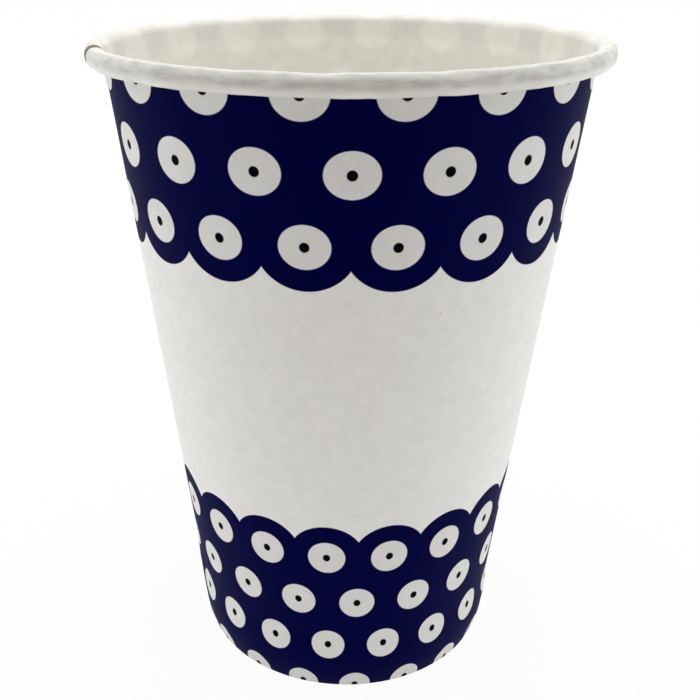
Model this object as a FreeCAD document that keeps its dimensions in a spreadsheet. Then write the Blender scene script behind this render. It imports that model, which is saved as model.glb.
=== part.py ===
import FreeCAD, Part
import math
import os
import Sketcher
from FreeCAD import Placement, Rotation, Vector

# Drinking cup of coated paperboard, in millimetres.
# Two sheets make it: a fan-shaped side wall, wrapped round and closed by a lap seam, and a round
# base with its rim turned down. The wall's top edge is rolled outward into a bead, and its bottom
# edge is folded in and up as a hem, which holds the skirt of the base.
# The cup stands on z = 0 with its axis on Z.

# Driving dimensions: name, value, meaning
DIMENSIONS = (
    ("cup_height", 106.3, "floor to the top of the rolled rim"),
    ("rim_diameter", 80.0, "outside of the rolled rim, which lids fit"),
    ("foot_diameter", 53.1, "outside of the wall, where it meets the floor"),
    ("board", 0.35, "thickness of the side wall's paperboard"),
    ("base_board", 0.32, "thickness of the base's paperboard"),
    ("roll_radius", 1.45, "rolled rim, outside radius of its upper bend"),
    ("roll_side", 0.35, "rolled rim, straight stretch on its outer flank"),
    ("roll_tail_radius", 1.2, "rolled rim, outside radius of its lower bend"),
    ("roll_tail_turn", 165.0, "degrees turned by the lower bend"),
    ("lap_tail_turn", 130.0, "the same in the seam, whose two plies leave less room in the roll"),
    ("fold_radius", 0.05, "inside radius of the two creases at the foot"),
    ("hem_height", 6.6, "floor to the free edge of the hem"),
    ("floor_height", 8.2, "floor to the upper face of the base"),
    ("base_bend_radius", 0.9, "outside radius of the bend between base and skirt"),
    ("seat_gap", 0.03, "clearance on each side of the skirt, in the hem"),
    ("skirt_gap", 0.2, "clearance under the edge of the skirt"),
    ("lap_swell", 0.1, "how much thicker the pressed lap is than one board, in the foot"),
    ("seam_angle", 163.5, "degrees from +X, clockwise from above, to the covered edge of the seam"),
    ("lap_angle", 11.0, "degrees of overlap in the seam"),
    ("ramp_angle", 5.0, "degrees in which the covering ply climbs over the covered edge"),
)
SIZE = {name: value for name, value, meaning in DIMENSIONS}

doc = FreeCAD.newDocument("paper_cup")
sheet = doc.addObject("Spreadsheet::Sheet", "Sizes")
for row, (name, value, meaning) in enumerate(DIMENSIONS, start=1):
    sheet.set(f"A{row}", name)
    sheet.set(f"B{row}", str(value))
    sheet.set(f"C{row}", meaning)
    sheet.setAlias(f"B{row}", name)
doc.recompute()

# Ends of a sketch edge, and the sketch's own axes, as constraints name them
START, END, CENTRE = range(1, 4)
X_AXIS, Y_AXIS, ORIGIN = -1, -2, (-1, 1)


# Starting geometry, worked out from the same sizes
ROLL_X = SIZE["rim_diameter"] / 2 - SIZE["roll_radius"]
ROLL_Z = SIZE["cup_height"] - SIZE["roll_radius"]
FOOT_X = SIZE["foot_diameter"] / 2
TILT = math.atan2(ROLL_X - FOOT_X, ROLL_Z) - math.asin(
    (SIZE["roll_radius"] - SIZE["board"]) / math.hypot(ROLL_X - FOOT_X, ROLL_Z))


def beside_wall(inside, height):
    """Point at a height, on the line that runs inside the wall's outer face by a distance."""
    return Vector(FOOT_X + height * math.tan(TILT) - inside / math.cos(TILT), height, 0)


def polar(centre, radius, angle):
    """Point on a circle, at an angle in radians."""
    return centre + Vector(radius * math.cos(angle), radius * math.sin(angle), 0)


class Profile:
    """Sketch in the plane of the axis, turned about it, with short names for what it adds."""

    def __init__(self, body, name, turned="0"):
        plane = next(f for f in body.Origin.OriginFeatures if f.Role == "XZ_Plane")
        self.sketch = body.newObject("Sketcher::SketchObject", name)
        self.sketch.AttachmentSupport = [(plane, "")]
        self.sketch.MapMode = "FlatFace"
        self.sketch.AttachmentOffset = Placement(Vector(), Rotation(Vector(0, 1, 0), 1))
        self.sketch.setExpression("AttachmentOffset.Rotation.Angle", turned)

    def line(self, start, end, guide=False):
        return self.sketch.addGeometry(Part.LineSegment(start, end), guide)

    def arc(self, centre, radius, low, high):
        """Arc from one angle up to another, in radians."""
        circle = Part.Circle(centre, Vector(0, 0, 1), radius)
        return self.sketch.addGeometry(Part.ArcOfCircle(circle, low, high), False)

    def circle(self, centre, radius):
        return self.sketch.addGeometry(Part.Circle(centre, Vector(0, 0, 1), radius), True)

    def tie(self, kind, *where):
        """Constraint with no size."""
        return self.sketch.addConstraint(Sketcher.Constraint(kind, *where))

    def measure(self, kind, name, expression, *where, start=1.0):
        """Constraint with a size that an expression gives."""
        index = self.sketch.addConstraint(Sketcher.Constraint(kind, *where, start))
        self.sketch.renameConstraint(index, name)
        self.sketch.setExpression("Constraints." + name, expression)


def add_wall_guide(profile):
    """Construction line on the wall's outer face: from the foot, tangent to the rolled board."""
    guide = profile.line(Vector(FOOT_X, 0, 0), beside_wall(0, ROLL_Z), guide=True)
    inner_roll = SIZE["roll_radius"] - SIZE["board"]
    roll = profile.circle(Vector(ROLL_X, ROLL_Z, 0), inner_roll)
    profile.measure("DistanceX", "foot", "Sizes.foot_diameter / 2", *ORIGIN, guide, START, start=FOOT_X)
    profile.tie("PointOnObject", guide, START, X_AXIS)
    profile.measure("DistanceX", "roll_x", "Sizes.rim_diameter / 2 - Sizes.roll_radius",
                    *ORIGIN, roll, CENTRE, start=ROLL_X)
    profile.measure("DistanceY", "roll_z", "Sizes.cup_height - Sizes.roll_radius",
                    *ORIGIN, roll, CENTRE, start=ROLL_Z)
    profile.measure("Radius", "roll_inside", "Sizes.roll_radius - Sizes.board", roll, start=inner_roll)
    profile.tie("Tangent", guide, roll)
    profile.tie("Horizontal", guide, END, roll, CENTRE)
    return guide, roll


def ply_face(profile, depth, floor, hem_gap, crease, tail_turn):
    """One face of the wall's sheet, as a chain of tangent edges from the hem to the rolled edge.

    depth is how far the face lies outside the wall's inner face, and so inside the roll; floor
    is its height at the foot, where its two creases have the radius crease; hem_gap is the
    distance between its wall and its hem.
    """
    wall_inside = SIZE["board"] - depth
    wall_crease = beside_wall(wall_inside + crease, floor + crease)
    hem_crease = beside_wall(wall_inside + hem_gap - crease, floor + crease)
    roll = Vector(ROLL_X, ROLL_Z, 0)
    tail = roll + Vector(SIZE["roll_radius"] - SIZE["roll_tail_radius"], -SIZE["roll_side"], 0)
    roll_radius = SIZE["roll_radius"] - depth
    tail_radius = SIZE["roll_tail_radius"] - depth
    inward = math.pi - TILT
    return {
        "hem": profile.line(beside_wall(wall_inside + hem_gap, SIZE["hem_height"]),
                            polar(hem_crease, crease, inward)),
        "hem_crease": profile.arc(hem_crease, crease, inward, 1.5 * math.pi),
        "foot": profile.line(polar(hem_crease, crease, -math.pi / 2), polar(wall_crease, crease, -math.pi / 2)),
        "wall_crease": profile.arc(wall_crease, crease, -math.pi / 2, -TILT),
        "wall": profile.line(polar(wall_crease, crease, -TILT), polar(roll, roll_radius, inward)),
        "roll": profile.arc(roll, roll_radius, 0, inward),
        "flank": profile.line(polar(roll, roll_radius, 0), polar(tail, tail_radius, 0)),
        "tail": profile.arc(tail, tail_radius, -math.radians(tail_turn), 0),
    }


def add_ply(body, name, turned="0", share=0.0, tail_turn="roll_tail_turn"):
    """Closed section of the wall's sheet, from the edge of the hem to the edge of the roll.

    share is how far the sheet has climbed over the ply that it covers: 0 not yet, 1 by its whole
    thickness. It climbs outward on the wall, and inward inside the roll and on the hem. In the
    foot the two plies are pressed almost into one, so that the cup doesn't rock.
    """
    profile = Profile(body, name, turned)
    guide, roll_guide = add_wall_guide(profile)
    climb = SIZE["board"] * share
    foot_board = SIZE["board"] + SIZE["lap_swell"] * share
    hem_gap = SIZE["base_board"] + 2 * SIZE["seat_gap"] + 2 * climb
    turn = SIZE[tail_turn]
    outer_crease = SIZE["fold_radius"] + SIZE["board"]
    inner = ply_face(profile, climb, foot_board, hem_gap, SIZE["fold_radius"], turn)
    outer = ply_face(profile, climb + SIZE["board"], 0.0, hem_gap + 2 * SIZE["board"], outer_crease, turn)

    # Each face is one smooth chain
    for face in (inner, outer):
        profile.tie("Tangent", face["hem"], END, face["hem_crease"], START)
        profile.tie("Tangent", face["hem_crease"], END, face["foot"], START)
        profile.tie("Tangent", face["foot"], END, face["wall_crease"], START)
        profile.tie("Tangent", face["wall_crease"], END, face["wall"], START)
        profile.tie("Tangent", face["wall"], END, face["roll"], END)
        profile.tie("Tangent", face["roll"], START, face["flank"], START)
        profile.tie("Tangent", face["flank"], END, face["tail"], END)
        profile.tie("Horizontal", face["foot"])
        profile.tie("Vertical", face["flank"])
        profile.tie("Parallel", face["wall"], guide)
        profile.tie("Parallel", face["hem"], guide)
        profile.tie("Coincident", face["roll"], CENTRE, roll_guide, CENTRE)

    # Foot: two creases and a flat, with the board's thickness between the faces
    profile.tie("PointOnObject", outer["foot"], START, X_AXIS)
    profile.measure("DistanceY", "foot_board", f"Sizes.board + Sizes.lap_swell * {share}",
                    outer["foot"], START, inner["foot"], START, start=foot_board)
    for crease in ("hem_crease", "wall_crease"):
        profile.measure("Radius", f"inner_{crease}", "Sizes.fold_radius", inner[crease],
                        start=SIZE["fold_radius"])
        profile.measure("Radius", f"outer_{crease}", "Sizes.fold_radius + Sizes.board", outer[crease],
                        start=outer_crease)

    # Hem: parallel to the wall, as far from it as the skirt needs, and cut level
    profile.measure("Distance", "hem_gap", f"Sizes.base_board + 2 * Sizes.seat_gap + 2 * Sizes.board * {share}",
                    inner["hem"], START, inner["wall"], start=hem_gap)
    profile.measure("DistanceY", "hem_height", "Sizes.hem_height", *ORIGIN, inner["hem"], START,
                    start=SIZE["hem_height"])
    hem_edge = profile.line(beside_wall(SIZE["board"] - climb + hem_gap, SIZE["hem_height"]),
                            beside_wall(2 * SIZE["board"] - climb + hem_gap, SIZE["hem_height"]))
    profile.tie("Coincident", hem_edge, START, inner["hem"], START)
    profile.tie("Coincident", hem_edge, END, outer["hem"], START)
    profile.tie("Horizontal", hem_edge)
    profile.measure("Distance", "hem_board", "Sizes.board", hem_edge, END, inner["hem"],
                    start=SIZE["board"])

    # Rolled rim: upper bend, straight flank and tighter lower bend, which tucks the edge in
    for label, face, depth in (("inner", inner, share), ("outer", outer, share + 1.0)):
        start = SIZE["roll_radius"] - SIZE["board"] * depth
        profile.measure("Radius", f"{label}_roll", f"Sizes.roll_radius - Sizes.board * {depth}",
                        face["roll"], start=start)
        start = SIZE["roll_tail_radius"] - SIZE["board"] * depth
        profile.measure("Radius", f"{label}_tail", f"Sizes.roll_tail_radius - Sizes.board * {depth}",
                        face["tail"], start=start)
        profile.measure("DistanceY", f"{label}_flank", "Sizes.roll_side",
                        face["flank"], END, face["flank"], START, start=SIZE["roll_side"])
    centre = profile.sketch.Geometry[inner["tail"]].Center
    angle = -math.radians(turn)
    roll_edge = profile.line(polar(centre, SIZE["roll_tail_radius"] - climb, angle),
                             polar(centre, SIZE["roll_tail_radius"] - climb - SIZE["board"], angle))
    profile.tie("Coincident", roll_edge, START, inner["tail"], START)
    profile.tie("Coincident", roll_edge, END, outer["tail"], START)
    profile.tie("PointOnObject", inner["tail"], CENTRE, roll_edge)
    profile.measure("Angle", "tail_turn", f"Sizes.{tail_turn} * 1 deg", inner["tail"], start=math.radians(turn))
    return profile.sketch


def revolve(body, name, sketch, angle):
    """Turn a section about the cup's axis, clockwise from above."""
    feature = body.newObject("PartDesign::Revolution", name)
    feature.Profile = sketch
    feature.ReferenceAxis = (sketch, ["V_Axis"])
    feature.Reversed = True
    feature.setExpression("Angle", angle)
    doc.recompute()
    return feature


def make_side_wall():
    """Wall, rolled rim and hem: one sheet that overlaps itself at the seam.

    The body is drawn with the covered edge of the seam at angle 0, and then turned to its place.
    Behind that edge the covering ply lies outside; in front of it, that ply climbs.
    """
    body = doc.addObject("PartDesign::Body", "side_wall")
    body.Label = "side_wall"

    single = add_ply(body, "single_ply", turned="-Sizes.lap_angle")
    revolve(body, "round_the_cup", single, "360 - Sizes.lap_angle - Sizes.ramp_angle")
    covered = add_ply(body, "covered_ply", tail_turn="lap_tail_turn")
    revolve(body, "covered_lap", covered, "Sizes.lap_angle")
    covering = add_ply(body, "covering_ply", share=1.0, tail_turn="lap_tail_turn")
    revolve(body, "covering_lap", covering, "Sizes.lap_angle")

    # The covering ply leaves the covered edge in a smooth ramp down to the single ply
    steps = 3
    sections = []
    for step in range(1, steps + 1):
        along = step / steps
        share = 1.0 - along * along * (3.0 - 2.0 * along)
        sections.append(add_ply(body, f"ramp_ply_{step}", turned=f"Sizes.ramp_angle * {step} / {steps}",
                                share=round(share, 6), tail_turn="lap_tail_turn"))
    ramp = body.newObject("PartDesign::AdditiveLoft", "seam_ramp")
    ramp.Profile = covering
    ramp.Sections = sections
    ramp.Ruled = True
    doc.recompute()

    body.Placement = Placement(Vector(), Rotation(Vector(0, 0, -1), 1))
    body.setExpression("Placement.Rotation.Angle", "Sizes.seam_angle")
    return body


def make_base_disc():
    """Round base, with its rim turned down as a skirt that stands in the hem."""
    body = doc.addObject("PartDesign::Body", "base_disc")
    body.Label = "base_disc"
    profile = Profile(body, "base_section")
    guide, roll_guide = add_wall_guide(profile)

    outside = SIZE["board"] + SIZE["seat_gap"]
    inside = outside + SIZE["base_board"]
    bend = SIZE["base_bend_radius"]
    inner_bend = bend - SIZE["base_board"]
    top = SIZE["floor_height"]
    under = top - SIZE["base_board"]
    edge = SIZE["board"] + SIZE["lap_swell"] + SIZE["skirt_gap"]
    centre = beside_wall(outside + bend, top - bend)
    quarter = math.pi / 2

    upper = profile.line(Vector(0, top, 0), polar(centre, bend, quarter))
    outer_bend = profile.arc(centre, bend, -TILT, quarter)
    outer_skirt = profile.line(polar(centre, bend, -TILT), beside_wall(outside, edge))
    skirt_edge = profile.line(beside_wall(outside, edge), beside_wall(inside, edge))
    inner_skirt = profile.line(beside_wall(inside, edge), polar(centre, inner_bend, -TILT))
    lower_bend = profile.arc(centre, inner_bend, -TILT, quarter)
    lower = profile.line(polar(centre, inner_bend, quarter), Vector(0, under, 0))
    middle = profile.line(Vector(0, under, 0), Vector(0, top, 0))

    profile.tie("Tangent", upper, END, outer_bend, END)
    profile.tie("Tangent", outer_bend, START, outer_skirt, START)
    profile.tie("Coincident", outer_skirt, END, skirt_edge, START)
    profile.tie("Coincident", skirt_edge, END, inner_skirt, START)
    profile.tie("Tangent", inner_skirt, END, lower_bend, START)
    profile.tie("Tangent", lower_bend, END, lower, START)
    profile.tie("Coincident", lower, END, middle, START)
    profile.tie("Coincident", middle, END, upper, START)
    profile.tie("PointOnObject", middle, START, Y_AXIS)
    profile.tie("Vertical", middle)
    profile.tie("Horizontal", upper)
    profile.tie("Horizontal", lower)
    profile.tie("Perpendicular", skirt_edge, outer_skirt)
    profile.tie("Parallel", outer_skirt, guide)
    profile.tie("Parallel", inner_skirt, guide)
    profile.tie("Coincident", lower_bend, CENTRE, outer_bend, CENTRE)
    profile.measure("DistanceY", "floor_height", "Sizes.floor_height", *ORIGIN, middle, END, start=top)
    profile.measure("Distance", "base_board", "Sizes.base_board", middle, start=SIZE["base_board"])
    profile.measure("Radius", "outer_bend", "Sizes.base_bend_radius", outer_bend, start=bend)
    profile.measure("Distance", "from_wall", "Sizes.board + Sizes.seat_gap",
                    outer_skirt, END, guide, start=outside)
    profile.measure("DistanceY", "skirt_edge", "Sizes.board + Sizes.lap_swell + Sizes.skirt_gap",
                    *ORIGIN, inner_skirt, START, start=edge)

    revolve(body, "turned_section", profile.sketch, "360")
    return body


def check(body):
    """Stop if a feature failed, or if the body isn't one valid solid."""
    for member in [body] + list(body.Group):
        if "Invalid" in member.State or "Error" in member.State:
            raise RuntimeError(f"{member.Name}: {member.State}")
    if body.Shape.isNull() or not body.Shape.isValid() or len(body.Shape.Solids) != 1:
        raise RuntimeError(f"{body.Label} is not one valid solid")


bodies = [make_side_wall(), make_base_disc()]
doc.recompute()
for body in bodies:
    check(body)
os.makedirs("parts", exist_ok=True)
for body in bodies:
    body.Shape.exportStep(f"parts/{body.Label}.step")
    box = body.Shape.BoundBox
    print(f"{body.Label}: {body.Shape.Volume:.1f} mm3, x {box.XMin:.3f} to {box.XMax:.3f}, "
          f"y {box.YMin:.3f} to {box.YMax:.3f}, z {box.ZMin:.3f} to {box.ZMax:.3f}")
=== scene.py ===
# %% [markdown]
# # A printed paper cup
# A paper cup is two sheets of board. The side wall is a fan-shaped sheet, wrapped until its ends
# overlap in a glued seam, with its top edge rolled outward and its bottom edge folded in and up.
# The base is a disc with its rim turned down, and it is held in that fold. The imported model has
# both at their real size. Here each is made again as one fine, smooth sheet, in the same place,
# and printed with a pattern that is worked out on the sheet itself.

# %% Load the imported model
import math

import bmesh
import bpy
from mathutils import Matrix, Vector, noise


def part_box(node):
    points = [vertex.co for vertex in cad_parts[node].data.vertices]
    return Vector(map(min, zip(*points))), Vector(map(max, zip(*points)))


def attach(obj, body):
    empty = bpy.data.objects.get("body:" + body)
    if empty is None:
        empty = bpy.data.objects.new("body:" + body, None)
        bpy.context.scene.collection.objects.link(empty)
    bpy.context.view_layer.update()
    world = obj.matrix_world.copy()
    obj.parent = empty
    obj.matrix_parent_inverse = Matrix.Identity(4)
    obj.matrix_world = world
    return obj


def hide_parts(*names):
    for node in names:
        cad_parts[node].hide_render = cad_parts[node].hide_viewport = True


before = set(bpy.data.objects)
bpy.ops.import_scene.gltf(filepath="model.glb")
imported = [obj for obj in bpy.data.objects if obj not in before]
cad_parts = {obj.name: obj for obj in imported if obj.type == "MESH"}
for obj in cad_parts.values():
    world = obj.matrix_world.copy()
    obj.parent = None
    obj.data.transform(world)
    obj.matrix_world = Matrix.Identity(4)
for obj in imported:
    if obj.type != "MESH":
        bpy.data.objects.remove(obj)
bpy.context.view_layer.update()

print("nodes:", sorted(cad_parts))

# %% [markdown]
# ## Sizes
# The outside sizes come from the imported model, so the new sheets can't drift away from it. The
# rest are the sizes of paperboard and of the folds, in metres like everything in Blender.

# %% Sizes of the cup
MM = 0.001
RIM_RADIUS, _, CUP_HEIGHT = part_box("side_wall")[1]
FLOOR_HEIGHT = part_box("base_disc")[1][2]

FOOT_RADIUS = 26.55 * MM
BOARD = 0.35 * MM
BASE_BOARD = 0.32 * MM
ROLL_RADIUS = 1.45 * MM
ROLL_SIDE = 0.35 * MM
TAIL_RADIUS = 1.2 * MM
TAIL_TURN = math.radians(160)
CREASE_RADIUS = 0.06 * MM
HEM_HEIGHT = 6.6 * MM
SEAT_GAP = 0.03 * MM
BASE_BEND = 0.9 * MM
SKIRT_EDGE = 0.7 * MM
print(f"cup {CUP_HEIGHT / MM:.1f} mm high, rim {2 * RIM_RADIUS / MM:.1f} mm wide")

# %% [markdown]
# The wall is straight from the foot to the rolled rim, and the roll continues it without a
# corner. Its tilt follows from that: the board's inner face touches the outside of the roll.

# %% Tilt of the wall
ROLL_CENTRE = Vector((RIM_RADIUS - ROLL_RADIUS, 0, CUP_HEIGHT - ROLL_RADIUS))
reach = ROLL_CENTRE.x - FOOT_RADIUS
TILT = math.atan2(reach, ROLL_CENTRE.z) - math.asin(
    (ROLL_RADIUS - BOARD) / math.hypot(reach, ROLL_CENTRE.z))
print(f"wall tilt {math.degrees(TILT):.2f} degrees")


def beside_wall(inside, height):
    """Point at a height, on the line that runs inside the wall's outer face by a distance."""
    return Vector((FOOT_RADIUS + height * math.tan(TILT) - inside / math.cos(TILT), 0, height))


def away(centre, radius, angle):
    """Point at a distance from a centre, at an angle in the plane of the section."""
    return centre + Vector((radius * math.cos(angle), 0, radius * math.sin(angle)))


# %% [markdown]
# ## Drawing a section
# A sheet that goes round an axis is drawn as one line, its section, and spun. The line is drawn
# like a pen stroke: one vertex is extruded and moved for a straight stretch, and spun about a
# centre for a bend. Each vertex notes how far along the board it lies, because print follows
# the sheet and not the height.

# %% A pen for sections
class Section:
    """Open line of edges in the plane y = 0, drawn on from its last vertex."""

    def __init__(self, start):
        self.bm = bmesh.new()
        self.along = self.bm.verts.layers.float.new("along")
        self.tip = self.bm.verts.new(start)
        self.length = 0.0

    def line(self, end, pieces=1):
        """Straight stretch, in equal pieces."""
        start = self.tip.co.copy()
        for piece in range(1, pieces + 1):
            grown = bmesh.ops.extrude_vert_indiv(self.bm, verts=[self.tip])["verts"][0]
            grown.co = start.lerp(end, piece / pieces)
            self._advance(grown, (grown.co - self.tip.co).length)

    def bend(self, centre, angle, pieces):
        """Bend about a centre, clockwise in the section where the angle is positive."""
        radius = (self.tip.co - centre).length
        for _ in range(pieces):
            spun = bmesh.ops.spin(self.bm, geom=[self.tip], cent=centre, axis=(0, 1, 0),
                                  angle=angle / pieces, steps=1)["geom_last"]
            grown = next(part for part in spun if isinstance(part, bmesh.types.BMVert))
            self._advance(grown, radius * abs(angle) / pieces)

    def _advance(self, vertex, step):
        self.length += step
        vertex[self.along] = self.length
        self.tip = vertex


# %% [markdown]
# ## The side wall's section
# The line is the wall's inner face. It starts at the free edge of the hem, goes down, under the
# skirt of the base, up the wall, and over into the roll. The inner face becomes the outside of
# the roll, which is why a printed cup has a plain white rim. The upper bend of the roll is
# round; its lower bend is tighter, so that the edge of the board tucks in behind the wall.

# %% Draw the side wall's section
fold = BASE_BOARD + 2 * SEAT_GAP
crease_height = BOARD + CREASE_RADIUS
hem_crease = beside_wall(BOARD + fold - CREASE_RADIUS, crease_height)
wall_crease = beside_wall(BOARD + CREASE_RADIUS, crease_height)
tail_centre = ROLL_CENTRE + Vector((ROLL_RADIUS - TAIL_RADIUS, 0, -ROLL_SIDE))

wall_section = Section(beside_wall(BOARD + fold, HEM_HEIGHT))
wall_section.line(away(hem_crease, CREASE_RADIUS, math.pi - TILT), pieces=3)
wall_section.bend(hem_crease, -(math.pi / 2 + TILT), pieces=4)
wall_section.line(away(wall_crease, CREASE_RADIUS, -math.pi / 2))
foot_along = wall_section.length
wall_section.bend(wall_crease, -(math.pi / 2 - TILT), pieces=4)
wall_along, wall_start = wall_section.length, wall_section.tip.co.z
wall_section.line(away(ROLL_CENTRE, ROLL_RADIUS, math.pi - TILT), pieces=40)
roll_along = wall_section.length
wall_section.bend(ROLL_CENTRE, math.pi - TILT, pieces=22)
wall_section.line(away(tail_centre, TAIL_RADIUS, 0), pieces=1)
wall_section.bend(tail_centre, TAIL_TURN, pieces=18)
print(f"board drawn: {wall_section.length / MM:.1f} mm, foot at {foot_along / MM:.1f} mm")

# %% [markdown]
# ## Wrapping the sheet
# The section is spun a little further than once round, one step at a time. The last stretch
# passes over the first: it climbs by one thickness of board in a short ramp and then covers the
# sheet's first edge. For each vertex the sheet notes how far it has climbed and how far it is
# covered, and the two plies are set apart by that in the next step. Angles are counted in
# degrees from +X and fall towards the front, which is at -90.

# %% Spin the wall round and over itself
SEAM_ANGLE = -163.5
LAP_ANGLE = 11.0
RAMP_ANGLE = 5.0
STEP_ANGLE = 1.0
GLUE = 0.01 * MM


def smooth(value, low=0.0, high=1.0):
    """Ease in and out: 0 up to the low value, 1 from the high one."""
    share = min(max((value - low) / (high - low), 0.0), 1.0)
    return share * share * (3 - 2 * share)


def wrap_sheet(section):
    """Spin a section once round and over its own start, and note where it covers and is covered."""
    bm = section.bm
    bmesh.ops.rotate(bm, verts=bm.verts, matrix=Matrix.Rotation(math.radians(SEAM_ANGLE), 3, "Z"))
    climb = bm.verts.layers.float.new("climb")
    under = bm.verts.layers.float.new("under")
    ring = [*bm.verts, *bm.edges]
    steps = round((360 + LAP_ANGLE) / STEP_ANGLE)
    for vertex in bm.verts:
        vertex[under] = 1.0
    for step in range(1, steps + 1):
        ring = bmesh.ops.spin(bm, geom=ring, cent=(0, 0, 0), axis=(0, 0, 1),
                              angle=-math.radians(STEP_ANGLE), steps=1)["geom_last"]
        turned = step * STEP_ANGLE
        for vertex in ring:
            if isinstance(vertex, bmesh.types.BMVert):
                vertex[climb] = smooth((turned - 360 + RAMP_ANGLE) / RAMP_ANGLE)
                vertex[under] = smooth((LAP_ANGLE + RAMP_ANGLE - turned) / RAMP_ANGLE)
    return climb, under


climb_layer, under_layer = wrap_sheet(wall_section)
print("vertices of the wrapped wall:", len(wall_section.bm.verts))

# %% [markdown]
# ## From a surface to board
# So far the sheet has no thickness. Its faces are turned so that they look at the drink, and
# the two plies of the seam are set one board apart. In the foot, where both are pressed flat,
# nothing may come lower than one board above the table. The roll gets the shallow waves that
# the curling tool leaves, and the foot swells a little where it holds skirt and hem. Solidify
# then gives the sheet its thickness on the far side, with its own material on that side and
# another on the cut edges.

# %% Turn the faces and part the plies
WALL_ABOVE_HEM = (12 * MM, 20 * MM)
WALL_BELOW_ROLL = (100 * MM, 103.4 * MM)
LAP_SWELL = 0.1 * MM


def face_the_drink(bm):
    """Make the faces of an open sheet look towards the axis and up."""
    bmesh.ops.recalc_face_normals(bm, faces=bm.faces)
    bm.normal_update()
    inward = sum(face.normal.dot(Vector((0, 0, CUP_HEIGHT)) - face.calc_center_median()) * face.calc_area()
                 for face in bm.faces)
    if inward < 0:
        bmesh.ops.reverse_faces(bm, faces=bm.faces)
    bm.normal_update()


def part_the_plies(bm, climb, under):
    """Set the two plies of the seam one board apart.

    On the wall the covered ply gives way inward, so the outside stays even. In the roll and in
    the hem the covering ply gives way, and the pressed foot stays on the table.
    """
    for vertex in bm.verts:
        height = vertex.co.z
        on_wall = smooth(height, *WALL_ABOVE_HEM) * (1 - smooth(height, *WALL_BELOW_ROLL))
        near_foot = 1 - smooth(height, BOARD, HEM_HEIGHT)
        covering = vertex[climb] * (BOARD + GLUE) * (1 - on_wall)
        covered = vertex[under] * (BOARD + GLUE) * on_wall
        vertex.co += vertex.normal * (covered - covering)
        vertex.co.z += (covering + vertex[under] * LAP_SWELL) * near_foot


# %% Press the roll and the foot
ROLL_DENT = 0.25 * MM
DENT_START = (0.3 * MM, 2.5 * MM)
LONG_WAVES = 5.0
SHORT_WAVES = 14.0
SHORT_WAVE_SHARE = 0.6
HEM_SWELL = 0.45 * MM
SWELL_RISE = (0.3 * MM, 3.5 * MM)
SWELL_FALL = (6.5 * MM, 12 * MM)
SWELL_OUTSIDE = (20 * MM, 24 * MM)
SWELL_IN_SEAM = 0.2


def press_roll(bm, along, roll_along):
    """Press shallow waves and dents into the roll, towards its centre, as the curling tool does."""
    for vertex in bm.verts:
        angle = math.atan2(vertex.co.y, vertex.co.x)
        centre = Vector((ROLL_CENTRE.x * math.cos(angle), ROLL_CENTRE.x * math.sin(angle), ROLL_CENTRE.z))
        into = smooth(vertex[along] - roll_along, *DENT_START)
        place = Vector((math.cos(angle), math.sin(angle), 0))
        across = Vector((3, 0, vertex.co.z * 0.4 / MM))
        wave = noise.noise(place * LONG_WAVES)
        wave += SHORT_WAVE_SHARE * noise.noise(place * SHORT_WAVES + across)
        vertex.co += (centre - vertex.co).normalized() * ROLL_DENT * into * min(abs(wave), 1.0)


def swell_hem(bm):
    """Press the foot out where skirt and hem lie inside the wall, but less where the plies overlap."""
    for vertex in bm.verts:
        radius = math.hypot(vertex.co.x, vertex.co.y)
        behind_seam = (SEAM_ANGLE - math.degrees(math.atan2(vertex.co.y, vertex.co.x))) % 360
        from_seam = min(abs(behind_seam - LAP_ANGLE / 2), 360 - abs(behind_seam - LAP_ANGLE / 2))
        beside_seam = smooth(from_seam, LAP_ANGLE / 2, LAP_ANGLE / 2 + RAMP_ANGLE)
        swell = smooth(vertex.co.z, *SWELL_RISE) * (1 - smooth(vertex.co.z, *SWELL_FALL))
        swell *= SWELL_IN_SEAM + (1 - SWELL_IN_SEAM) * beside_seam
        out = HEM_SWELL * swell * smooth(radius, *SWELL_OUTSIDE)
        vertex.co += Vector((vertex.co.x, vertex.co.y, 0)).normalized() * out


# %% Give a sheet its thickness
SHARP_ANGLE = math.radians(50)


def make_sheet(name, bm, board, materials):
    """Mesh object of a sheet: its drawn side, the side that Solidify adds, and its cut edges."""
    mesh = bpy.data.meshes.new(name)
    for face in bm.faces:
        face.smooth = True
    bm.to_mesh(mesh)
    bm.free()
    for material in materials:
        mesh.materials.append(material)
    sheet = bpy.data.objects.new(name, mesh)
    bpy.context.scene.collection.objects.link(sheet)
    thicken = sheet.modifiers.new("board", "SOLIDIFY")
    thicken.thickness = board
    thicken.offset = -1
    thicken.use_even_offset = True
    thicken.material_offset = 1
    thicken.material_offset_rim = 2
    solid = bpy.data.meshes.new_from_object(sheet.evaluated_get(bpy.context.evaluated_depsgraph_get()))
    sheet.modifiers.clear()
    sheet.data = solid
    solid.name = name
    solid.set_sharp_from_angle(angle=SHARP_ANGLE)
    print(name, "has", len(solid.polygons), "faces")
    return sheet


# %% [markdown]
# ## The base
# The base is the same kind of sheet: a disc of slightly thinner board whose rim is bent down.
# Its skirt runs along the wall, down into the fold of the hem. Spun once round, its first and
# last edges are merged, and so are the vertices that meet on the axis.

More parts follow.
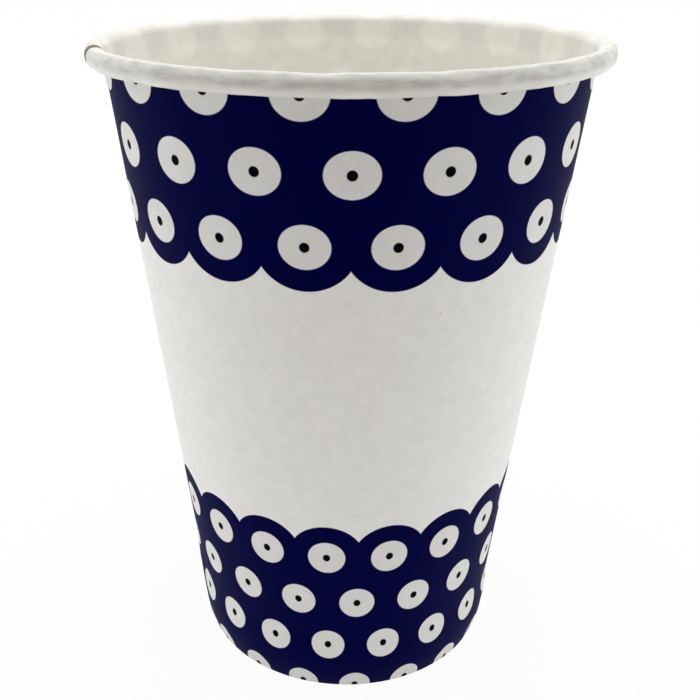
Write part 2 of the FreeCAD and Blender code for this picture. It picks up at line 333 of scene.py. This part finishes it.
# %% Draw and spin the base
base_inside = BOARD + SEAT_GAP
bend_centre = beside_wall(base_inside + BASE_BEND, FLOOR_HEIGHT - BASE_BEND)
base_section = Section(Vector((0, 0, FLOOR_HEIGHT)))
base_section.line(away(bend_centre, BASE_BEND, math.pi / 2), pieces=24)
base_section.bend(bend_centre, math.pi / 2 + TILT, pieces=10)
base_section.line(beside_wall(base_inside, SKIRT_EDGE), pieces=4)
base_bm = base_section.bm
bmesh.ops.spin(base_bm, geom=[*base_bm.verts, *base_bm.edges], cent=(0, 0, 0), axis=(0, 0, 1),
               angle=math.tau, steps=240, use_merge=True)
bmesh.ops.remove_doubles(base_bm, verts=base_bm.verts, dist=0.001 * MM)
face_the_drink(base_bm)
print("base faces:", len(base_bm.faces))

# %% [markdown]
# ## Materials
# Everything here is paperboard, but its faces differ. A hex colour is how a designer writes it;
# Blender's light works on linear values, so one function turns them. Another adds a node, with
# its settings and what goes into it, and gives back the output that the next node needs.

# %% Colour and node helpers
def colour(code):
    """Linear red, green, blue and alpha of an sRGB hex colour."""
    parts = [int(code[i:i + 2], 16) / 255 for i in (1, 3, 5)]
    return [c / 12.92 if c <= 0.04045 else ((c + 0.055) / 1.055) ** 2.4 for c in parts] + [1.0]


def add(tree, kind, inputs=None, out=0, **settings):
    """Add a node; inputs maps its sockets to values or to outputs of other nodes. Gives one output."""
    node = tree.nodes.new(kind)
    for name, value in settings.items():
        setattr(node, name, value)
    for socket, value in (inputs or {}).items():
        if isinstance(value, bpy.types.NodeSocket):
            tree.links.new(value, node.inputs[socket])
        else:
            node.inputs[socket].default_value = value
    return None if out is None else node.outputs[out]


def new_material(name):
    """Empty material and its node tree."""
    material = bpy.data.materials.new(name)
    material.use_nodes = True
    material.node_tree.nodes.clear()
    return material, material.node_tree


# %% [markdown]
# ## The printed pattern
# The pattern is a traditional one: white discs with a dark dot on a dark blue ground, set in
# staggered rows. About eighteen discs go round the cup in every row, so they are a little wider
# at the rim than at the foot. Two bands of it leave a white belt between them, and each band
# ends in scallops that run round its last row of discs. The pattern is worked out from two
# numbers: the angle round the cup, and the height of that place on the flat sheet before it was
# folded. It doesn't quite meet itself where one end of the sheet covers the other.

# %% Sizes of the print, in millimetres up the sheet and degrees round the cup
DISC_WIDTH = 11.7
DISC_HEIGHT = 6.34
DOT_WIDTH_SHARE = 0.2
DOT_HEIGHT_SHARE = 0.23
SCALLOP_WIDTH = 23.5
SCALLOP_HEIGHT = 12.8
UPPER_BAND = {"edge_row": 83.7, "row_step": 9.87, "edge_phase": -79.25, "disc_step": 20.25, "side": 1}
LOWER_BAND = {"edge_row": 29.9, "row_step": 9.8, "edge_phase": -95.8, "disc_step": 19.8, "side": -1}
PRINT_EDGE = 0.06
BLEED_EDGE = -0.4
DEGREES = 180 / math.pi


# %% Where a place lies on the flat sheet
def sheet_place(tree):
    """Angle round the cup in degrees, and height on the unfolded sheet in millimetres."""
    place = add(tree, "ShaderNodeTexCoord", out=3)
    split = add(tree, "ShaderNodeSeparateXYZ", {0: place}).node
    angle = add(tree, "ShaderNodeMath", {0: split.outputs[1], 1: split.outputs[0]}, operation="ARCTAN2")
    angle = add(tree, "ShaderNodeMath", {0: angle, 1: DEGREES}, operation="MULTIPLY")
    sheet_end = SEAM_ANGLE - LAP_ANGLE
    angle = add(tree, "ShaderNodeMath", {0: angle, 1: sheet_end + 360, 2: sheet_end}, operation="WRAP")
    along = add(tree, "ShaderNodeAttribute", out=2, attribute_name="along")
    slope = math.cos(TILT) / MM
    height = add(tree, "ShaderNodeMath", {0: along, 1: slope, 2: wall_start / MM - wall_along * slope},
                 operation="MULTIPLY_ADD")
    return angle, height


# %% Discs, dots and scallops
def inside_oval(tree, across, up, width, height, edge=PRINT_EDGE):
    """1 inside an oval about the origin and 0 outside, with a soft edge."""
    x = add(tree, "ShaderNodeMath", {0: across, 1: 2 / width}, operation="MULTIPLY")
    y = add(tree, "ShaderNodeMath", {0: up, 1: 2 / height}, operation="MULTIPLY")
    xx = add(tree, "ShaderNodeMath", {0: x, 1: x}, operation="MULTIPLY")
    reach = add(tree, "ShaderNodeMath", {0: y, 1: y, 2: xx}, operation="MULTIPLY_ADD")
    reach = add(tree, "ShaderNodeMath", {0: reach}, operation="SQRT")
    soft = 2 * edge / height
    return add(tree, "ShaderNodeMapRange", {0: reach, 1: 1 - soft, 2: 1 + soft, 3: 1.0, 4: 0.0})


def print_band(tree, angle, height, band, edge):
    """Ink of one band, and its dots: rows of discs away from the edge row, and scallops at it."""
    half_step = band["disc_step"] / 2
    from_edge = add(tree, "ShaderNodeMath", {0: height, 1: band["edge_row"]}, operation="SUBTRACT")
    from_phase = add(tree, "ShaderNodeMath", {0: angle, 1: band["edge_phase"]}, operation="SUBTRACT")
    row = add(tree, "ShaderNodeMath", {0: from_edge, 1: band["row_step"]}, operation="DIVIDE")
    row = add(tree, "ShaderNodeMath", {0: row}, operation="ROUND")
    odd = add(tree, "ShaderNodeMath", {0: row, 1: 2.0}, operation="FLOORED_MODULO")
    staggered = add(tree, "ShaderNodeMath", {0: odd, 1: half_step, 2: from_phase}, operation="MULTIPLY_ADD")
    across = add(tree, "ShaderNodeMath", {0: staggered, 1: half_step, 2: -half_step}, operation="WRAP")
    up = add(tree, "ShaderNodeMath", {0: from_edge, 1: band["row_step"] / 2, 2: -band["row_step"] / 2},
             operation="WRAP")
    disc = inside_oval(tree, across, up, DISC_WIDTH, DISC_HEIGHT, edge)
    dot = inside_oval(tree, across, up, DISC_WIDTH * DOT_WIDTH_SHARE, DISC_HEIGHT * DOT_HEIGHT_SHARE)

    edge_across = add(tree, "ShaderNodeMath", {0: from_phase, 1: half_step, 2: -half_step}, operation="WRAP")
    scallop = inside_oval(tree, edge_across, from_edge, SCALLOP_WIDTH, SCALLOP_HEIGHT, edge)
    beyond = add(tree, "ShaderNodeMath", {0: from_edge, 1: band["side"]}, operation="MULTIPLY")
    beyond = add(tree, "ShaderNodeMath", {0: beyond, 1: 0.0}, operation="GREATER_THAN")
    ground = add(tree, "ShaderNodeMath", {0: scallop, 1: beyond}, operation="MAXIMUM")
    around = add(tree, "ShaderNodeMath", {0: 1.0, 1: disc}, operation="SUBTRACT")
    ink = add(tree, "ShaderNodeMath", {0: ground, 1: around}, operation="MULTIPLY")
    dot = add(tree, "ShaderNodeMath", {0: dot, 1: ground}, operation="MULTIPLY")
    return ink, dot, ground


def printed_pattern(tree, edge=PRINT_EDGE):
    """Blue ink, dark dots and whole area of both bands; past the foot fold the sheet is bare."""
    angle, height = sheet_place(tree)
    upper = print_band(tree, angle, height, UPPER_BAND, edge)
    lower = print_band(tree, angle, height, LOWER_BAND, edge)
    printed = add(tree, "ShaderNodeMath", {0: height, 1: BLEED_EDGE}, operation="GREATER_THAN")
    layers = []
    for upper_layer, lower_layer in zip(upper, lower):
        both = add(tree, "ShaderNodeMath", {0: upper_layer, 1: lower_layer}, operation="MAXIMUM")
        layers.append(add(tree, "ShaderNodeMath", {0: both, 1: printed}, operation="MULTIPLY"))
    return layers


# %% [markdown]
# ## Paperboard
# Bleached cupstock is warm white. Its fibres lie in clouds a millimetre or two across, which
# show as faint mottling, with a fine tooth of about a third of a millimetre that takes the shine
# off. A few dark specks of bark or ink always get in. The printed side is bare board; the side
# towards the drink has a thin film of polyethylene and is a little smoother.

# %% Fibres of the board
CLOUD_SIZE = 2.2 * MM
TOOTH_SIZE = 0.35 * MM
TOOTH_SHARE = 0.4
SPECK_SPACING = 9 * MM


def fibres(tree, tint, clouds=0.03, specks=0.5):
    """Colour of board with cloudy fibres and a few specks."""
    place = add(tree, "ShaderNodeTexCoord", out=3)
    cloud = add(tree, "ShaderNodeTexNoise", {0: place, "Scale": 1 / CLOUD_SIZE, "Detail": 4.0})
    tooth = add(tree, "ShaderNodeTexNoise", {0: place, "Scale": 1 / TOOTH_SIZE, "Detail": 2.0})
    grain = add(tree, "ShaderNodeMath", {0: tooth, 1: TOOTH_SHARE, 2: cloud}, operation="MULTIPLY_ADD")
    shade = add(tree, "ShaderNodeMapRange", {0: grain, 1: 0.4, 2: 1.0, 3: 1 - clouds, 4: 1 + clouds})
    board = add(tree, "ShaderNodeVectorMath", {0: tint[:3], "Scale": shade}, operation="SCALE")
    fleck = add(tree, "ShaderNodeTexVoronoi", {0: place, "Scale": 1 / SPECK_SPACING}, feature="F1")
    fleck = add(tree, "ShaderNodeMapRange", {0: fleck, 1: 0.012, 2: 0.02, 3: specks, 4: 0.0})
    board = add(tree, "ShaderNodeMix", {0: fleck, 6: board, 7: colour("#8C7A63")}, out=2, data_type="RGBA")
    return board, tooth


# %% Board, printed outside
LIGHT_LOST_UNDER_INK = 0.1
INK_MOTTLE_SIZE = 0.8 * MM


def make_printed_board():
    """Outside of the wall: dense matt ink on bare board.

    Light spreads inside the board and dies under the ink, so the white discs between the inked
    places look a little darker than the white belt.
    """
    material, tree = new_material("bleached_board_printed")
    ink, dot, ground = printed_pattern(tree)
    board, tooth = fibres(tree, colour("#F5F4F0"), clouds=0.045)
    lost = add(tree, "ShaderNodeMath", {0: ground, 1: LIGHT_LOST_UNDER_INK}, operation="MULTIPLY")
    board = add(tree, "ShaderNodeMix", {0: lost, 6: board, 7: colour("#000000")}, out=2, data_type="RGBA")
    place = add(tree, "ShaderNodeTexCoord", out=3)
    mottle = add(tree, "ShaderNodeTexNoise", {0: place, "Scale": 1 / INK_MOTTLE_SIZE, "Detail": 3.0})
    blue = add(tree, "ShaderNodeMix", {0: mottle, 6: colour("#000036"), 7: colour("#000046")},
               out=2, data_type="RGBA")
    base = add(tree, "ShaderNodeMix", {0: ink, 6: board, 7: blue}, out=2, data_type="RGBA")
    base = add(tree, "ShaderNodeMix", {0: dot, 6: base, 7: colour("#04040E")}, out=2, data_type="RGBA")
    bump = add(tree, "ShaderNodeBump", {"Strength": 0.15, "Distance": 0.02 * MM, "Height": tooth})
    shader = add(tree, "ShaderNodeBsdfPrincipled",
                 {"Base Color": base, "Roughness": 0.55, "IOR": 1.48, "Specular IOR Level": 0.02,
                  "Normal": bump})
    add(tree, "ShaderNodeOutputMaterial", {0: shader}, out=None)
    return material


printed_board = make_printed_board()
print("material:", printed_board.name)

# %% [markdown]
# The board isn't quite opaque. From inside, the dark print on the back of the sheet shows through as a faint
# shadow, so the same pattern is used again there, very weakly and with softer edges. Light that falls on the
# wall from outside comes through it in the same way, which subsurface scattering gives. The roll is of the
# same face of the sheet, but it is wound up, so no light comes through. Its upper outer side is greyed in
# streaks with painted shade, which stands for the shade in the fine creases that the curling tool leaves.

# %% Film side of the board
GHOST_EDGE = 0.6
GHOST_STRENGTH = 0.11
LIGHT_THROUGH_WALL = 0.6
LIGHT_SPREAD = 0.6 * MM
ROLL_SHUTS_LIGHT = (102.0 * MM, 103.4 * MM)
# Place and streaks of the painted shade on the roll's upper outer face.
SHADE_OUT = math.cos(math.radians(28))
SHADE_UP = math.sin(math.radians(28))
SHADE_START = (0.9 * MM, 1.3 * MM)
SHADE_STREAK_SIZE = 3.5 * MM


def painted_roll_shade(tree, place, base):
    """Paint streaks of shade on the upper outer face of the roll, for the shade in its fine creases."""
    flat = add(tree, "ShaderNodeVectorMath", {0: place, 1: (1, 1, 0)}, operation="MULTIPLY")
    radius = add(tree, "ShaderNodeVectorMath", {0: flat}, out=1, operation="LENGTH")
    height = add(tree, "ShaderNodeSeparateXYZ", {0: place}, out=2)
    outward = add(tree, "ShaderNodeMath", {0: radius, 1: SHADE_OUT, 2: -SHADE_OUT * ROLL_CENTRE.x},
                  operation="MULTIPLY_ADD")
    outward = add(tree, "ShaderNodeMath", {0: height, 1: SHADE_UP, 2: outward}, operation="MULTIPLY_ADD")
    face = add(tree, "ShaderNodeMapRange", {0: outward, 1: SHADE_UP * ROLL_CENTRE.z + SHADE_START[0],
                                            2: SHADE_UP * ROLL_CENTRE.z + SHADE_START[1], 3: 0.0, 4: 1.0},
               interpolation_type="SMOOTHSTEP")
    long_way = add(tree, "ShaderNodeVectorMath", {0: place, 1: (1, 1, 4)}, operation="MULTIPLY")
    streak = add(tree, "ShaderNodeTexNoise", {0: long_way, "Scale": 1 / SHADE_STREAK_SIZE, "Detail": 5.0})
    streak = add(tree, "ShaderNodeMapRange", {0: streak, 1: 0.35, 2: 0.65, 3: 0.14, 4: 0.46})
    shade_share = add(tree, "ShaderNodeMath", {0: face, 1: streak}, operation="MULTIPLY")
    # Painted shade: this grey is mixed into the roll's colour in streaks.
    return add(tree, "ShaderNodeMix", {0: shade_share, 6: base, 7: colour("#8A8C88")}, out=2, data_type="RGBA")


def make_film_board():
    """Inside of the cup and outside of the roll: board under a clear film.

    Light comes through the single sheet of the wall, and doesn't through the wound roll.
    """
    material, tree = new_material("bleached_board_film_side")
    ink, _, _ = printed_pattern(tree, edge=GHOST_EDGE)
    board, tooth = fibres(tree, colour("#F7F5EC"), clouds=0.06, specks=0.3)
    through = add(tree, "ShaderNodeMath", {0: ink, 1: GHOST_STRENGTH}, operation="MULTIPLY")
    base = add(tree, "ShaderNodeMix", {0: through, 6: board, 7: colour("#4A4E60")}, out=2, data_type="RGBA")
    place = add(tree, "ShaderNodeTexCoord", out=3)
    # Painted shade in grey streaks on the upper outer face of the roll.
    base = painted_roll_shade(tree, place, base)
    height = add(tree, "ShaderNodeSeparateXYZ", {0: place}, out=2)
    single = add(tree, "ShaderNodeMapRange", {0: height, 1: ROLL_SHUTS_LIGHT[0],
                                              2: ROLL_SHUTS_LIGHT[1], 3: 1.0, 4: 0.0})
    passing = add(tree, "ShaderNodeMath", {0: single, 1: LIGHT_THROUGH_WALL}, operation="MULTIPLY")
    bump = add(tree, "ShaderNodeBump", {"Strength": 0.25, "Distance": 0.02 * MM, "Height": tooth})
    shader = add(tree, "ShaderNodeBsdfPrincipled",
                 {"Base Color": base, "Roughness": 0.36, "IOR": 1.5, "Normal": bump,
                  "Subsurface Weight": passing, "Subsurface Radius": (1.0, 1.0, 1.0),
                  "Subsurface Scale": LIGHT_SPREAD})
    add(tree, "ShaderNodeOutputMaterial", {0: shader}, out=None)
    return material


film_board = make_film_board()
print("material:", film_board.name)


# %% [markdown]
# The base is of plain board, a little darker than the wall's on its bare underside. Where board is cut, its
# raw middle shows, greyer than its faces, and its colour is made darker still with painted shade, for the
# shade in the gap of the seam.

# %% Plain board, for the base and the cut edges
def make_plain_board(name, tint):
    """Board with nothing on it: the base and the cut edges."""
    material, tree = new_material(name)
    board, tooth = fibres(tree, colour(tint))
    bump = add(tree, "ShaderNodeBump", {"Strength": 0.2, "Distance": 0.03 * MM, "Height": tooth})
    shader = add(tree, "ShaderNodeBsdfPrincipled",
                 {"Base Color": board, "Roughness": 0.6, "IOR": 1.48, "Normal": bump})
    add(tree, "ShaderNodeOutputMaterial", {0: shader}, out=None)
    return material


base_film = make_plain_board("bleached_board_base_film", "#E8E7E2")
base_board = make_plain_board("bleached_board_base", "#E4E2DC")
# The cut edges' colour is raw board made darker with painted shade, for the shade in the seam's gap.
cut_edge = make_plain_board("cut_edge_board_and_painted_shade", "#A8A296")
print("materials:", base_film.name, base_board.name, cut_edge.name)

# %% [markdown]
# ## Put the sheets in place
# Each new sheet stands for its node of the imported model and rides on the same body.

# %% Finish both sheets
face_the_drink(wall_section.bm)
part_the_plies(wall_section.bm, climb_layer, under_layer)
press_roll(wall_section.bm, wall_section.along, roll_along)
for bm in (wall_section.bm, base_bm):
    swell_hem(bm)
wall_sheet = make_sheet("side_wall_sheet", wall_section.bm, BOARD, [film_board, printed_board, cut_edge])
base_sheet = make_sheet("base_sheet", base_bm, BASE_BOARD, [base_film, base_board, cut_edge])
for sheet, node, slot in ((wall_sheet, "side_wall", "printed_paperboard"),
                          (base_sheet, "base_disc", "base_paperboard")):
    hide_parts(node)
    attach(sheet, "root")

# %% [markdown]
# ## Floor and light
# The cup stands on a white table in an evenly white room. A large dark card stands round the
# lens. It takes light away from what faces the camera from nearby: the middle of the wall turns
# darker than its edges, and the rolled rim gets a soft grey line below its bright top, which one
# large soft lamp lights from above. Rays from the camera, from gloss and through glass see the
# table nearly white; the rest of its colour is its own shade, which keeps the cup's shadow.

# %% The room
scene = bpy.context.scene
world = bpy.data.worlds.new("white_room")
scene.world = world
world.use_nodes = True
world.node_tree.nodes.clear()
white_air = add(world.node_tree, "ShaderNodeBackground", {0: colour("#FFFFFF"), 1: 1.0})
add(world.node_tree, "ShaderNodeOutputWorld", {0: white_air}, out=None)


def stage_plane(name, size, material, matrix=None):
    """Plane that belongs to the stage, of a width and a depth."""
    bm = bmesh.new()
    bmesh.ops.create_grid(bm, x_segments=2, y_segments=2, size=0.5)
    bmesh.ops.scale(bm, verts=bm.verts, vec=(size[0], size[1], 1))
    bmesh.ops.transform(bm, verts=bm.verts, matrix=matrix or Matrix.Identity(4))
    mesh = bpy.data.meshes.new(name)
    bm.to_mesh(mesh)
    bm.free()
    mesh.materials.append(material)
    plane = bpy.data.objects.new(name, mesh)
    scene.collection.objects.link(plane)
    return plane


# %% The table
TABLE_SIZE = (6.0, 6.0)
# Rays that light the cup see the table glow faintly as well, so the table lights the cup's foot as a lamp
# would.
TABLE_GLOW = 0.26
TABLE_WHITENESS = 0.93
table_top, table_tree = new_material("matt_white_table")
table_ray = add(table_tree, "ShaderNodeLightPath").node
seen = add(table_tree, "ShaderNodeMath", {0: table_ray.outputs["Is Camera Ray"],
                                          1: table_ray.outputs["Is Glossy Ray"]}, operation="MAXIMUM")
seen = add(table_tree, "ShaderNodeMath", {0: seen, 1: table_ray.outputs["Is Transmission Ray"]},
           operation="MAXIMUM")
matt = add(table_tree, "ShaderNodeBsdfDiffuse", {0: colour("#F4F4F4")})
glow = add(table_tree, "ShaderNodeEmission", {0: colour("#FFFFFF"), 1: 1.0})
share = add(table_tree, "ShaderNodeMapRange", {0: seen, 3: TABLE_GLOW, 4: TABLE_WHITENESS})
table_mix = add(table_tree, "ShaderNodeMixShader", {0: share, 1: matt, 2: glow})
add(table_tree, "ShaderNodeOutputMaterial", {0: table_mix}, out=None)
stage_plane("table", TABLE_SIZE, table_top)


# %% Lamps
def area_lamp(name, place, aim, size, power):
    """Square soft lamp that looks at a point."""
    light = bpy.data.lights.new(name, "AREA")
    light.size = size
    light.energy = power
    lamp = bpy.data.objects.new(name, light)
    turn = (Vector(aim) - Vector(place)).to_track_quat("-Z", "Y").to_matrix().to_4x4()
    lamp.matrix_world = Matrix.Translation(place) @ turn
    scene.collection.objects.link(lamp)


area_lamp("soft_box_above", (0.0, 0.0, 0.9), (0, 0, 0.05), 0.7, 2.0)

# %% [markdown]
# ## The camera
# The camera stands close to the cup and looks down on it by 26 degrees. Its place was found by
# matching the printed discs, the rim and the sides of the cup in the photograph. The picture is
# a crop, so the lens is shifted a little.

# %% Camera
FRAME = 700
FOCAL_PIXELS = 942.6
AXIS_PIXEL = (322.9, 379.0)
camera_place = (Matrix.Translation((-0.7 * MM, -153.5 * MM, 122.3 * MM))
                @ Matrix.Rotation(math.radians(1.3), 4, "Z")
                @ Matrix.Rotation(math.radians(90 - 25.94), 4, "X"))
camera_data = bpy.data.cameras.new("camera")
camera_data.sensor_width = 36
camera_data.lens = FOCAL_PIXELS / FRAME * camera_data.sensor_width
camera_data.shift_x = 0.5 - AXIS_PIXEL[0] / FRAME
camera_data.shift_y = AXIS_PIXEL[1] / FRAME - 0.5
camera_data.clip_start = 1 * MM
camera = bpy.data.objects.new("camera", camera_data)
camera.matrix_world = camera_place @ Matrix.Rotation(math.radians(-0.13), 4, "Z")
scene.collection.objects.link(camera)
scene.camera = camera
scene.view_settings.view_transform = "Standard"
print("camera, mm:", [round(part / MM, 1) for part in camera.matrix_world.translation])

# %% [markdown]
# The dark card stands square to the lens and just behind it, so it is made after the camera.
# The camera doesn't see it, which keeps it out of pictures from other sides.

# %% The dark card round the lens
CARD_SIZE = (210 * MM, 210 * MM)
CARD_BEHIND_LENS = 12 * MM
card_board, card_tree = new_material("warm_dark_card")
card_shade = add(card_tree, "ShaderNodeBsdfDiffuse", {0: colour("#44291A")})
add(card_tree, "ShaderNodeOutputMaterial", {0: card_shade}, out=None)
card = stage_plane("card_round_the_lens", CARD_SIZE, card_board,
                   camera_place @ Matrix.Translation((0, 0, CARD_BEHIND_LENS)))
card.visible_camera = False
